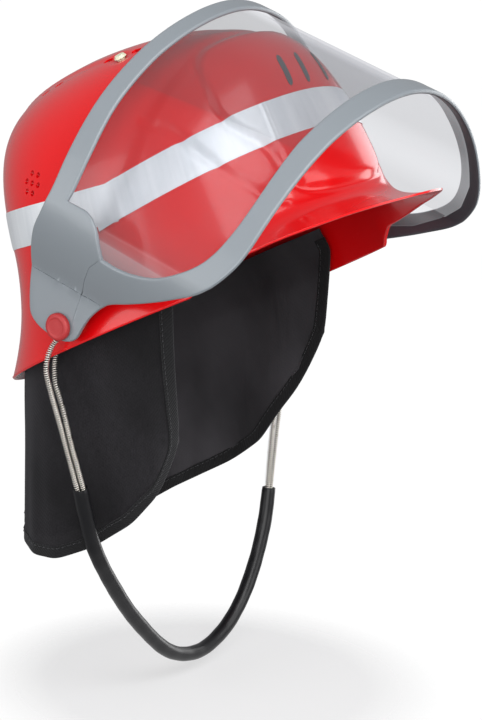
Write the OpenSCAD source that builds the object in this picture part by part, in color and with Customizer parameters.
// Firefighter helmet with a pivoting face shield, a hanging neck curtain,
// a spring-stranded chin strap and an adjustable head harness.
// Origin: centre of the head opening in the plane of the side rim.
// Front is -Y, the wearer's right is -X, up is +Z. Millimetres.

/* [Shell] */
// Half width of the shell at the rim
rim_half_w = 103; // [100:1:106]
// How far the rear rim stands behind the origin
rim_rear = 110; // [104:1:114]
// How far the forehead wall stands in front of the origin
brow_front = 114; // [110:1:118]
// Height of the crown above the rim
crown_h = 141.7; // [138:0.1:146]
// How far the peak reaches beyond the forehead wall
peak_out = 37; // [30:1:40]
// Wall thickness of the moulded shell
wall = 2.2; // [1.8:0.1:2.4]

/* [Reflective tape] */
// Width of the reflective tape
tape_w = 20; // [15:1:24]
// Height of the tape's centre line at the rear
tape_z_rear = 74; // [66:1:78]
// How far the tape dips beside the pivots
tape_dip = 15; // [8:1:18]

/* [Visor] */
// Angle of the visor's generators from vertical in the parked position
visor_tilt = 45.2; // [44:0.2:48]
// Distance from pivot axis to the front of the visor
visor_front = 155.5; // [155:0.5:162]
// Half width of the visor at its widest
visor_half_w = 127; // [124:1:130]
// Thickness of the visor frame
frame_t = 2.6; // [2:0.1:2.8]
// Thickness of the clear lens
lens_t = 1.4; // [1:0.1:2]

/* [Pivots] */
// Distance of the pivot axis behind the origin
pivot_y = 10; // [8:1:12]
// Height of the pivot axis above the rim
pivot_z = 11; // [10:1:12]
// Radius of the pivot pins
pin_r = 3; // [2.5:0.1:3.4]
// Running clearance on the pins, on the radius
pin_clear = 0.06; // [0.03:0.01:0.1]
// Radius of the coloured pivot caps
cap_r = 7; // [6:0.5:8]

/* [Chin strap] */
// Angle at which the strap hangs behind vertical
strap_hang = 27.8; // [24:0.2:30]
// Radius of the sleeve over the chin cord
sleeve_r = 4; // [3.6:0.1:4.4]
// Radius of the spring strands
strand_r = 1.4; // [1.3:0.05:1.5]

/* [Neck curtain] */
// Nominal drop of the neck curtain; its stations scale with it
curtain_drop = 110; // [90:1:115]
// Thickness of the curtain cloth
curtain_t = 1.2; // [1:0.1:1.6]

/* [Head harness] */
// Half width of the headband
band_half_w = 76; // [72:1:78]
// Half length of the headband
band_half_l = 84; // [80:1:85]
// Height of the headband strip
band_h = 30; // [24:1:34]

/* [Hidden] */
$fn = 48;
pivot = [0, pivot_y, pivot_z];

// ---- numbers and curves ----
function clamp01(x) = max(0, min(1, x));
function smooth(x) = let (c = clamp01(x)) c * c * (3 - 2 * c);
function mix(from, to, share) = from + (to - from) * share;
function unit(v) = v / norm(v);
function signed_pow(x, power) = sign(x) * pow(abs(x), power);
function reversed(list) = [for (i = [len(list) - 1:-1:0]) list[i]];
function catmull_rom(p0, p1, p2, p3, t) =
    0.5 * (2 * p1 + (p2 - p0) * t + (2 * p0 - 5 * p1 + 4 * p2 - p3) * t * t
        + (3 * p1 - p0 - 3 * p2 + p3) * t * t * t);
// Smooth curve through the points, with the given number of steps between neighbours
function spline(points, steps) = let (last = len(points) - 1) concat(
    [for (i = [0:last - 1], j = [0:steps - 1])
        catmull_rom(points[max(0, i - 1)], points[i], points[i + 1],
            points[min(last, i + 2)], j / steps)],
    [points[last]]);

// ---- polyhedron faces ----
// Four corners in turn, split along the diagonal from the first
function quad(a, b, c, d) = [[a, b, c], [a, c, d]];
function flipped(faces) = [for (f = faces) [f[2], f[1], f[0]]];
// Skin over a stack of closed rings of n points; its points start at index first
function skin(rings, n, first = 0) =
    let (id = [for (i = [0:rings - 1]) [for (k = [0:n]) first + i * n + k % n]])
    [for (i = [0:rings - 2], k = [0:n - 1])
        each quad(id[i][k], id[i][k + 1], id[i + 1][k + 1], id[i + 1][k])];
// Band that joins two rings of n points starting at indices a and b
function ring_join(a, b, n) = [for (k = [0:n - 1])
    each quad(a + k, a + (k + 1) % n, b + (k + 1) % n, b + k)];
// Fan from a ring of n points to an apex
function fan(first, apex, n) = [for (k = [0:n - 1]) [first + k, first + (k + 1) % n, apex]];

// Closed solid between two grids of (n+1) by (m+1) points
module grid_solid(outer, inner, n, m) {
    count = (n + 1) * (m + 1);
    function top(i, j) = i * (m + 1) + j;
    function low(i, j) = count + top(i, j);
    polyhedron(concat(outer, inner), concat(
        [for (i = [0:n - 1], j = [0:m - 1])
            each quad(top(i, j), top(i, j + 1), top(i + 1, j + 1), top(i + 1, j))],
        [for (i = [0:n - 1], j = [0:m - 1])
            each quad(low(i, j), low(i + 1, j), low(i + 1, j + 1), low(i, j + 1))],
        [for (i = [0:n - 1])
            each quad(top(i, 0), top(i + 1, 0), low(i + 1, 0), low(i, 0))],
        [for (i = [0:n - 1])
            each quad(top(i, m), low(i, m), low(i + 1, m), top(i + 1, m))],
        [for (j = [0:m - 1])
            each quad(top(0, j), low(0, j), low(0, j + 1), top(0, j + 1))],
        [for (j = [0:m - 1])
            each quad(top(n, j), top(n, j + 1), low(n, j + 1), low(n, j))]), convexity = 6);
}

// Rings of n points at radius r, square to a path
function path_rings(path, r, n) = [for (i = [0:len(path) - 1], k = [0:n - 1]) let (
    along = unit(path[min(len(path) - 1, i + 1)] - path[max(0, i - 1)]),
    // the fixed vector only sets where each ring starts
    across = unit(cross(along, [0.3, 0.9, 0.32])),
    angle = 360 * k / n)
    path[i] + r * (cos(angle) * across + sin(angle) * cross(along, across))];
module sweep_solid(path, r, n) {
    last = len(path) - 1;
    polyhedron(path_rings(path, r, n), concat(
        skin(last + 1, n),
        [[for (k = [n - 1:-1:0]) k]],
        [[for (k = [0:n - 1]) last * n + k]]), convexity = 8);
}
module sweep_tube(path, outer_r, inner_r, n) {
    last = len(path) - 1;
    count = len(path) * n;
    polyhedron(concat(path_rings(path, outer_r, n), path_rings(path, inner_r, n)), concat(
        skin(last + 1, n),
        flipped(skin(last + 1, n, count)),
        flipped(ring_join(0, count, n)),
        ring_join(last * n, count + last * n, n)), convexity = 8);
}

// ---- shell surface ----
plan_n = 2.2;      // superellipse exponent of the plan outline
side_flare = 4.3;  // how far the skirt spreads at each side
rear_flare = 33;   // how far the skirt spreads at the rear
crown_lean = 8.5;  // how far the crown leans back at the top
peak_h = 22;       // height over which the peak blends into the wall
low_z = 34;        // height of the closely spaced lower rings
low_share = 0.4;   // share of the rings below that height

// Dome profile: 1 at the rim and 0 at the crown
function dome(z, inner_pow, outer_pow) =
    pow(max(0, 1 - pow(max(0, z) / crown_h, inner_pow)), outer_pow);
function flare(z, height, power) = pow(max(0, 1 - z / height), power);
// Half width, rear reach and front reach of the plan outline at height z
function half_w(z) = (rim_half_w - side_flare) * dome(z, 2.47, 0.485)
    + side_flare * flare(z, 30, 1.7);
function reach_rear(z) = (rim_rear - rear_flare) * dome(z, 7.2, 0.363)
    + rear_flare * flare(z, 60, 1.85);
function reach_front(z) = (brow_front - 0.088 * z) * dome(z, 9.69, 0.675);
function lean(z) = crown_lean * pow(max(0, z) / crown_h, 4);

// Plan angle a: 0 = left side (+X), 90 = rear, 180 = right side, 270 = front.
// Front angle t: 0 = side and everything behind it, 90 = front centre
function front_angle(a) = a > 180 ? (a < 270 ? a - 180 : 360 - a) : 0;
function peak_share(t) = let (w = clamp01((t - 31) / 59)) (pow(w, 0.92) - 0.12 * pow(w, 6)) / 0.88;
// The skirt is level, steps up 9 to the peak, rises 2 more and sinks 1.5 towards the front
function rim_z(a) = let (t = front_angle(a))
    9 * smooth((t - 28) / 7) + 2 * smooth((t - 33) / 20) - 1.5 * smooth((t - 62) / 28);
// Point on the shell at plan angle a and height z, moved inward
function shell_pt(a, z, inward = 0) = let (
    h = max(0, z - rim_z(a)),
    w = half_w(z) - inward,
    reach = (sin(a) >= 0 ? reach_rear(z) : reach_front(z)) - inward,
    peak = a > 180 ? peak_out * peak_share(front_angle(a)) * pow(max(0, 1 - h / peak_h), 3.4) : 0)
    [max(0.01, w) * signed_pow(cos(a), 2 / plan_n),
        max(0.01, reach) * signed_pow(sin(a), 2 / plan_n) - peak + lean(z), z];
// Height at plan angle a of the ring at share v of the way up
function ring_z(v, a, top) =
    v < low_share ? rim_z(a) + (low_z - rim_z(a)) * pow(v / low_share, 1.35)
        : low_z + (top - low_z) * sin(90 * (v - low_share) / (1 - low_share));
function shell_rings(around, rings, inward, top) =
    [for (j = [0:rings - 1], i = [0:around - 1]) let (a = 360 * i / around)
        shell_pt(a, ring_z(j / rings, a, top), inward)];

// The moulding without its holes
module shell_body() {
    around = 64;
    rings = 16;
    count = around * rings;
    last = count - around;
    inner_top = crown_h - wall;
    polyhedron(concat(
        shell_rings(around, rings, 0, crown_h),
        shell_rings(around, rings, wall, inner_top),
        [[0, lean(crown_h), crown_h], [0, lean(inner_top), inner_top]]),
    concat(
        flipped(skin(rings, around)),
        flipped(fan(last, 2 * count, around)),
        skin(rings, around, count),
        fan(count + last, 2 * count + 1, around),
        ring_join(0, count, around)), convexity = 6);
}
// Rosette of seven holes on each side above the tape
module rosette(side) {
    pitch = 5.6;
    translate([side * 82, 17.4, 86.2]) rotate([0, 90, side * 12])
        for (k = [0:6]) let (r = k == 0 ? 0 : pitch)
            translate([r * cos(60 * k), r * sin(60 * k), -12])
                cylinder(r = 1.5, h = 24, $fn = 8);
}
// Slots along both shoulders of the crown
module crown_slots(side) for (y = [27.6, 17.2, -18.5, -36])
    translate([side * 32.5, y, 134]) rotate([0, side * 22, 0])
        cube([4.4, 6, 16], center = true);
// Frame of a peg through the shoulder of the crown, z outward
module peg_place(side) translate([side * 33.3, -26.7, 131])
    rotate([7.7, side * 21.5, 0]) children();

module shell() color("red") difference() {
    shell_body();
    for (side = [-1, 1]) {
        translate([side * 100, pivot_y, pivot_z]) rotate([0, 90, 0])
            cylinder(r = pin_r + 0.3, h = 24, center = true);
        rosette(side);
        crown_slots(side);
        peg_place(side) translate([0, 0, -8]) cylinder(r = 2.5, h = 20);
    }
}

// ---- tape and emblem ----
film_t = 0.25;     // thickness of tape and emblem
film_gap = 0.35;   // gap between them and the shell
lap_step = 0.5;    // how much higher the front tape lies, to lap over the rear one

// Strip along the shell between two plan angles, of width w about height mid_z(a).
// lift is the distance of its inner face out from the shell
module shell_strip(from, to, steps, mid_z, w, lift, t, rows = 4) {
    function face(out) = [for (i = [0:steps], j = [0:rows]) let (a = mix(from, to, i / steps))
        shell_pt(a, mid_z(a) + w * (j / rows - 0.5), -out)];
    grid_solid(face(lift + t), face(lift), steps, rows);
}
// Two runs of tape, highest at the rear and front, lap low beside the ears
module tape_rear() color("whitesmoke")
    shell_strip(-16, 196, 44,
        function(a) tape_z_rear - tape_dip * pow(abs(a - 90) / 104, 2),
        tape_w, film_gap, film_t);
module tape_front() color("whitesmoke")
    shell_strip(190, 350, 44,
        function(a) tape_z_rear - 3.5 - (tape_dip - 3) * pow(abs(a - 270) / 76, 1.6),
        tape_w, film_gap + lap_step, film_t);

// Three slanting bars on the forehead, above the tape
module front_emblem() color("dimgray") intersection() {
    shell_strip(244, 296, 14, function(a) 92, 20, film_gap, film_t, 6);
    translate([0, -60, 92.5]) rotate([90, 0, 0]) for (x = [-12.5, 2, 22])
        translate([x, 0, -20]) linear_extrude(80)
            polygon([[-2.9, -8], [1.1, -8], [2.9, 8], [-1.1, 8]]);
}

// ---- visor: a frame and a lens bent from one plan curve ----
// Local frame: y from the pivot axis rearwards, z along the generators, x across
bow_n = 1.85;      // superellipse exponent of the bow
bow_y = 28;        // how far in front of the pivots the bow is widest
bow_start = 17;    // bow angle where the flare from the ear joins
ear_x = 109.6;     // outer face of the flat ears
ear_rear = 12;
fold_y = -21.5;    // where the ears fold outward
lens_gap = 0.1;    // gap between frame and lens
sheet_z = [-100, 40];

function bow(angle) = [visor_half_w * pow(cos(angle), 2 / bow_n),
    -bow_y - (visor_front - bow_y) * pow(sin(angle), 2 / bow_n)];
// Cubic flare from the fold of the ear to the start of the bow
function ear_flare(t) = let (end = bow(bow_start), s = 1 - t)
    s * s * s * [ear_x, fold_y] + 3 * s * s * t * [ear_x + 6.5, fold_y - 13]
    + 3 * s * t * t * [end[0] + 1.5, end[1] + 12] + t * t * t * end;
// Left half of the outer plan curve, from the rear of the ear to the front centre
plan_half = concat(
    [[ear_x, ear_rear], [ear_x, fold_y]],
    [for (t = [0.15:0.14:0.9]) ear_flare(t)],
    [for (i = [0:17]) bow(mix(bow_start, 86, i / 17))],
    [[0, -visor_front]]);
function curve_normal(curve, i) =
    let (d = unit(curve[min(len(curve) - 1, i + 1)] - curve[max(0, i - 1)])) [-d[1], d[0]];
function inset(curve, depth) = let (last = len(curve) - 1) concat(
    [for (i = [0:last - 1]) curve[i] - depth * curve_normal(curve, i)],
    [curve[last] + [0, depth]]);
// Adds the mirrored half of a curve that ends on the centre line
function both_halves(curve) = concat(curve,
    [for (i = [len(curve) - 2:-1:0]) [-curve[i][0], curve[i][1]]]);
// The bent sheet, at the given depth inside the plan curve
module bent_sheet(depth, t) translate([0, 0, sheet_z[0]])
    linear_extrude(sheet_z[1] - sheet_z[0]) polygon(concat(
        both_halves(inset(plan_half, depth)),
        reversed(both_halves(inset(plan_half, depth + t)))));
// A side outline [y, z] carried right across the visor
module side_prism(outline) rotate([90, 0, 90]) translate([0, 0, -140])
    linear_extrude(280) polygon(outline);
module placed_visor() translate(pivot) rotate([-visor_tilt, 0, 0]) children();

// Side outlines as [y, z].
// Frame: from the rear of the ear along the top, down the front and back below
frame_outline = concat(
    spline([[7.5, 3], [6.4, 11], [4.2, 16.8], [0, 20.6], [-12, 24.5], [-24, 26.5],
        [-42, 25.5], [-56, 22], [-68, 21], [-86, 23.2], [-112, 26.8], [-134, 28.2]], 3),
    [[-165, 28], [-165, -90.3], [-120, -89.6]],
    spline([[-110, -90], [-86, -90.3], [-72, -87], [-58, -78], [-46, -62], [-37, -48],
        [-30, -36], [-24.5, -26], [-19, -19.5], [-11, -14.6], [-3.4, -12.1], [2, -10.6],
        [5.6, -6.5], [7.5, 0]], 3));
// Window: along the top to the rear, down and forward below
window_outline = concat(
    [[-170, 17.5], [-134, 18]],
    spline([[-112, 16], [-90, 11.6], [-74, 9.4], [-65, 9.8]], 3),
    spline([[-66.2, 3], [-66, -3], [-63.6, -8.6], [-59, -13], [-52.5, -16.2],
        [-46.8, -18.4]], 3),
    spline([[-46.8, -28], [-48.6, -39], [-53, -51], [-61, -62.4], [-72, -72.6],
        [-86, -77.6], [-104, -78.6], [-130, -76]], 3),
    [[-170, -75.8]]);
// Lens: the same way round, larger than the window
lens_outline = concat(
    [[-165, 23], [-134, 23.5]],
    spline([[-112, 21.5], [-90, 17.8], [-74, 16.5], [-56, 15.5]], 2),
    [[-44, 14], [-38, 6], [-36, -6], [-37, -24]],
    spline([[-40, -40], [-47, -55], [-58, -68], [-72, -80], [-88, -84.6],
        [-110, -84.6], [-130, -84.4]], 2),
    [[-165, -84.4]]);

module visor_frame() color([0.66, 0.70, 0.73]) placed_visor() difference() {
    intersection() {
        bent_sheet(0, frame_t);
        side_prism(frame_outline);
    }
    side_prism(window_outline);
    rotate([0, 90, 0]) cylinder(r = pin_r + pin_clear, h = 260, center = true);
}
// The lens lies just inside the frame and laps under the bands round the window
module visor_lens() color([0.85, 0.9, 0.95, 0.35]) placed_visor() intersection() {
    bent_sheet(frame_t + lens_gap, lens_t);
    side_prism(lens_outline);
}

// ---- pivots ----
// Parts are drawn along z, which is the distance out from the centre plane
pin_inner = 90.6;
pin_outer = 110.8;
pin_chamfer = 0.8;
fixed_bore_r = pin_r + 0.02;    // bore of the parts fixed on the pin
cap_z = 110;
cap_side_h = 2.2;
cap_bevel = 1;
spacer_z = [103.7, 106.8];
nut_z = 92;
nut_flange_h = 1;

// Places a part on the right (-1) or left (+1) side
module at_pivot(side) translate(pivot) mirror([side < 0 ? 1 : 0, 0, 0])
    rotate([0, 90, 0]) children();
module raised_cylinder(z, r, h) translate([0, 0, z]) cylinder(r = r, h = h);

module pin_body() {
    shank_z = pin_inner + pin_chamfer;
    raised_cylinder(shank_z, pin_r, pin_outer - shank_z);
    translate([0, 0, pin_inner]) cylinder(r1 = pin_r - pin_chamfer, r2 = pin_r, h = pin_chamfer);
}
module cap_body() difference() {
    union() {
        raised_cylinder(cap_z, cap_r, cap_side_h);
        translate([0, 0, cap_z + cap_side_h])
            cylinder(r1 = cap_r, r2 = cap_r - cap_bevel, h = cap_bevel);
    }
    raised_cylinder(cap_z - 1, fixed_bore_r, 1.9);
}
module spacer_body() difference() {
    raised_cylinder(spacer_z[0], 4.3, spacer_z[1] - spacer_z[0]);
    raised_cylinder(100, fixed_bore_r, 10);
}
module nut_body() difference() {
    union() {
        raised_cylinder(nut_z, 5, nut_flange_h);
        raised_cylinder(nut_z + nut_flange_h, 4, 1.2);
    }
    raised_cylinder(nut_z - 2, fixed_bore_r, 6);
}
module pivot_pin_right() color("silver") at_pivot(-1) pin_body();
module pivot_pin_left() color("silver") at_pivot(1) pin_body();
module pivot_cap_right() color("firebrick") at_pivot(-1) cap_body();
module pivot_cap_left() color("firebrick") at_pivot(1) cap_body();
module pivot_spacer_right() color("gainsboro") at_pivot(-1) spacer_body();
module pivot_spacer_left() color("gainsboro") at_pivot(1) spacer_body();
module pivot_nut_right() color("silver") at_pivot(-1) nut_body();
module pivot_nut_left() color("silver") at_pivot(1) nut_body();

// ---- chin strap ----
strand_wall = 0.5;
sleeve_wall = 0.65;
cord_r = 0.7;
cord_offset = 1.6;    // of each cord from the sleeve's centre line
eyelet_r = 4.8;
eyelet_t = 1.2;
hang_dir = [0, sin(strap_hang), -cos(strap_hang)];
rear_dir = [0, cos(strap_hang), sin(strap_hang)];

// Strap points are [across, rearwards from the strap plane, down the strap] from the pivot
function strap_path(points, steps) = [for (p = spline(points, steps))
    pivot + [p[0], 0, 0] + p[1] * rear_dir + p[2] * hang_dir];
// Strands, from the pin down to the sleeve
right_outer = [[-103.8, 2.9, 5.3], [-106, 8.1, 13.2], [-108, 9.3, 24], [-105, 8.2, 36.5],
    [-101.8, 7.1, 46.8], [-98.8, 5.9, 56.6], [-96.2, 4.6, 66.3], [-93.8, 3.1, 76],
    [-90.7, 1.5, 88], [-89.5, 1.3, 92]];
right_inner = [[-95, 2.9, 5.3], [-95.3, 10.4, 12.5], [-95.9, 13, 19.5], [-99, 10.6, 31],
    [-99.3, 7, 40], [-98.7, 4.8, 47], [-97, 3.2, 56.4], [-95.2, 1.5, 66],
    [-92.4, 0.1, 76], [-88.5, -0.9, 88], [-87.2, -1.1, 92]];
left_outer = [[103.8, 2.9, 5.3], [106, 8, 13], [108, 6.5, 28], [104.6, 4, 50],
    [97.4, 2, 76], [91, 0.4, 104], [88.1, 0.05, 124], [87.3, 0, 131]];
left_inner = [[95, 2.9, 5.3], [94.8, 7.8, 13], [97, 7.6, 26], [97.5, 5, 45],
    [92, 2, 72], [86, 0.3, 106], [84.7, 0.05, 124], [83.9, 0, 131]];
// Sleeve, from right to left under the chin
sleeve_mid = [[-89.5, 0, 88], [-84.6, 0, 103], [-76, 0, 124], [-60, 0, 147.5],
    [-38.5, 0, 172.5], [-8, 0, 198.5], [20, 0, 207.5], [44, 0, 202.5],
    [62, 0, 189], [75, 0, 169], [83, 0, 147], [86.1, 0, 127]];

module spring_strands() color("silver")
    for (points = [right_outer, right_inner, left_outer, left_inner])
        sweep_tube(strap_path(points, 4), strand_r, strand_r - strand_wall, 8);
// Two cords run inside the strands and side by side through the sleeve
function cord_in_sleeve(offset) = [for (i = [1:len(sleeve_mid) - 2])
    let (along = unit(sleeve_mid[i + 1] - sleeve_mid[i - 1]))
    sleeve_mid[i] + offset * [along[2], 0, -along[0]]];
module cord(right, left, offset)
    sweep_solid(strap_path(concat(right, cord_in_sleeve(offset), reversed(left)), 3), cord_r, 6);
module strap_cords() color("dimgray") {
    cord(right_outer, left_outer, -cord_offset);
    cord(right_inner, left_inner, cord_offset);
}
module chin_sleeve() color([0.1, 0.1, 0.11])
    sweep_tube(strap_path(sleeve_mid, 4), sleeve_r, sleeve_r - sleeve_wall, 14);
// Ring terminals turn on the pins, one outside and one inside the shell on each side
module strap_eyelets() color("silver") for (side = [-1, 1], x = [102.3, 94.6])
    at_pivot(side) difference() {
        raised_cylinder(x, eyelet_r, eyelet_t);
        raised_cylinder(x - 1, pin_r + pin_clear, eyelet_t + 2);
    }

// ---- neck curtain ----
curtain_a = [-10.8, 205];    // plan angles of the left and right front edges
cloth_rise = 13;             // how far the fixed edge stands up inside the shell
cloth_z = 10;                // height where the free drop begins
station_drop = 110;          // curtain_drop for which the stations are drawn
// Free edge: [share of the way round from the left, drop, inward curl]
curtain_stations = [[0, 36, 1], [0.04, 67, 5], [0.09, 88, 6], [0.16, 94, 2],
    [0.26, 97, 0], [0.38, 104, 0], [0.5, 100, -1], [0.6, 86, 0],
    [0.65, 88, 1], [0.7, 98, 2.5], [0.74, 107, 4.5], [0.79, 114, 8],
    [0.84, 115, 13.5], [0.91, 110, 24], [0.96, 99, 33], [1, 72, 56]];
function station(share, column) =
    lookup(share, [for (row = curtain_stations) [row[0], row[column]]]);
// Inset of the cloth from the outside of the shell, wider beside the pivots
function cloth_gap(a) = wall + 3.2 + 6.6 * exp(-pow((shell_pt(a, 0)[1] - 12) / 26, 2));
// Point at a share of the way round and v down the drop; v from 0 to -1 runs up in the shell
function cloth_pt(share, v, inward = 0) = let (
    a = (mix(curtain_a[0], curtain_a[1], share) + 360) % 360,
    up = max(0, -v) * cloth_rise,
    top = shell_pt(a, cloth_z - 2 + up, cloth_gap(a) + inward),
    drop = max(0, v) * (station(share, 1) * curtain_drop / station_drop + 8),
    curl = station(share, 2) * pow(drop / 100, 1.4),
    curl_dir = unit([-top[0], 14 - 0.7 * top[1], 0]))
    [top[0], top[1], cloth_z + up] + curl * curl_dir + drop * hang_dir;
// Two rows stand in the shell; the rest hang and stop short of the binding
function cloth_row(share, j, rows) = j < 2 ? -1 + j / 2
    : (0.96 - 0.05 * pow(abs(2 * share - 1), 10)) * (j - 2) / (rows - 2);
function cloth_face(inward, n, rows) = [for (i = [0:n], j = [0:rows])
    let (share = mix(0.016, 0.984, i / n)) cloth_pt(share, cloth_row(share, j, rows), inward)];
module neck_curtain() color([0.16, 0.15, 0.17])
    grid_solid(cloth_face(-curtain_t / 2, 40, 10), cloth_face(curtain_t / 2, 40, 10), 40, 10);
// Narrow binding round the free edge, drawn as a cord
function side_edge(share) = [for (j = [0:8]) cloth_pt(share, mix(0.02, 1, j / 8))];
module curtain_binding() color("black") {
    edge = concat(side_edge(0), [for (i = [1:39]) cloth_pt(i / 40, 1)], reversed(side_edge(1)));
    sweep_solid([for (p = edge) p + [0, 0, -0.1]], 0.55, 6);
}
// Hook-and-loop patches between the shell and the cloth
module curtain_patches() color([0.2, 0.2, 0.2]) for (a = [50, 90, 130])
    shell_strip(a - 6, a + 6, 4, function(a) 3, 4.4, -(wall + 1.6), 1, 2);

// ---- head harness ----
band_y = -17;      // centre of the headband
band_z = 27;       // lower edge of the headband
tongue_r = 64;     // radius at the rear of the headband, where the tongue is round
tongue_y = band_half_l + band_y - tongue_r;
tongue_gap = 1.6;
tongue_t = 1.4;
tongue_h = 14;
tongue_sweep = 64;
cradle_rise = 72;
cradle_half_w = 9;
cradle_t = 1;

// Point on the headband oval at angle a, moved inward
function band_pt(a, inward) =
    [(band_half_w - inward) * cos(a), (band_half_l - inward) * sin(a) + band_y];
module band_arc(from, to, outer, inner, h) {
    n = 48;
    linear_extrude(h) polygon(concat(
        [for (i = [0:n]) band_pt(mix(from, to, i / n), outer)],
        [for (i = [n:-1:0]) band_pt(mix(from, to, i / n), inner)]));
}
// Places a part on the headband with its z axis pointing out at angle a
module on_band(a, inward, z) translate([band_pt(a, inward)[0], band_pt(a, inward)[1], z])
    rotate([0, 90, a]) children();

// Plastic headband, open at the rear where the adjuster closes it
module headband() color("dimgray") translate([0, 0, band_z]) difference() {
    band_arc(112, 428, 0, 1.4, band_h);
    for (a = [30, 150, 210, 270, 330])
        on_band(a, 0, band_h / 2 - 4) cylinder(r = 2, h = 10, center = true);
}
// Pad inside the front of the headband
module sweatband() color([0.25, 0.24, 0.24]) translate([0, 0, band_z + 1])
    band_arc(235, 305, 1.7, 4.7, band_h - 2);
// Curved tongue with a row of holes across the rear opening
module size_adjuster() color("gray")
    translate([0, tongue_y, band_z + (band_h - tongue_h) / 2]) difference() {
        rotate([0, 0, 90 - tongue_sweep / 2]) rotate_extrude(angle = tongue_sweep, $fn = 96)
            translate([tongue_r + tongue_gap, 0]) square([tongue_t, tongue_h]);
        for (k = [-2:2]) rotate([0, 0, 90 + 6 * k]) translate([tongue_r, 0, tongue_h / 2])
            rotate([0, 90, 0]) cylinder(r = 1.6, h = 12, center = true);
    }
// Knob with a notched edge, behind the tongue
module adjuster_knob() color([0.15, 0.15, 0.16])
    translate([0, tongue_y, band_z + band_h / 2]) rotate([0, 0, 90])
    translate([tongue_r + tongue_gap + tongue_t + 0.1, 0, 0]) rotate([0, 90, 0]) difference() {
        cylinder(r = 8, h = 4);
        for (k = [0:11]) rotate([0, 0, 30 * k]) translate([8.6, 0, -1])
            cylinder(r = 1.2, h = 7);
    }
// Four straps tie the headband to the shell wall
module band_hangers() color("gray") for (a = [30, 150, 210, 330])
    translate([0, 0, band_z + 7]) linear_extrude(8) polygon([
        band_pt(a - 4, -0.3), band_pt(a + 4, -0.3),
        band_pt(a + 3, -12), band_pt(a - 3, -12)]);

// Point on the cradle at share v of the way from the top to the headband at angle a
function cradle_pt(a, v) = let (p = band_pt(a, 3.2))
    [p[0] * sin(90 * v), (p[1] - band_y) * sin(90 * v) + band_y,
        band_z + band_h - 6 + cradle_rise * cos(90 * v)];
// One tape over the head; its thickness turns from vertical on top to level at the ends
module cradle_tape(a, lift) {
    steps = 20;
    side = [-sin(a), cos(a), 0];
    function middle(v) = v < 0 ? cradle_pt(a + 180, -v) : cradle_pt(a, v);
    function outward(v) = let (p = middle(v), q = [p[0], p[1] - band_y, 0])
        norm(q) > 0.1 ? unit(q) : [0, 0, 0];
    mids = [for (i = [0:steps], j = [-1, 1]) let (v = 2 * i / steps - 1)
        [v, middle(v) + j * cradle_half_w * side]];
    upper = [for (m = mids) m[1] + [0, 0, lift + cradle_t]];
    lower = [for (m = mids) let (turn = m[0] * m[0] * cradle_t)
        m[1] + [0, 0, lift + turn] - turn * outward(m[0])];
    grid_solid(upper, lower, steps, 1);
}
// Two woven tapes cross under the crown and drop to the headband
module crown_cradle() color([0.2, 0.2, 0.22]) {
    cradle_tape(45, 0);
    cradle_tape(135, 1.6);
}
module cradle_studs() color("gray") for (a = [45, 135, 225, 315])
    on_band(a, 2.4, band_z + band_h - 5) cylinder(r = 2.2, h = 0.9, center = true);
// Natural nylon pegs clip the harness anchors through both shoulders of the crown
module crown_pegs() color([0.87, 0.87, 0.7]) for (side = [-1, 1]) peg_place(side) {
    raised_cylinder(-7, 2.2, 9);
    translate([0, 0, 2]) cylinder(r1 = 3.4, r2 = 2.6, h = 1.5);
    raised_cylinder(-8.2, 4, 1.4);
}

shell();
tape_rear();
tape_front();
front_emblem();
visor_frame();
visor_lens();
pivot_pin_right();
pivot_pin_left();
pivot_cap_right();
pivot_cap_left();
pivot_spacer_right();
pivot_spacer_left();
pivot_nut_right();
pivot_nut_left();
strap_eyelets();
spring_strands();
strap_cords();
chin_sleeve();
neck_curtain();
curtain_binding();
curtain_patches();
headband();
sweatband();
size_adjuster();
adjuster_knob();
band_hangers();
crown_cradle();
cradle_studs();
crown_pegs();
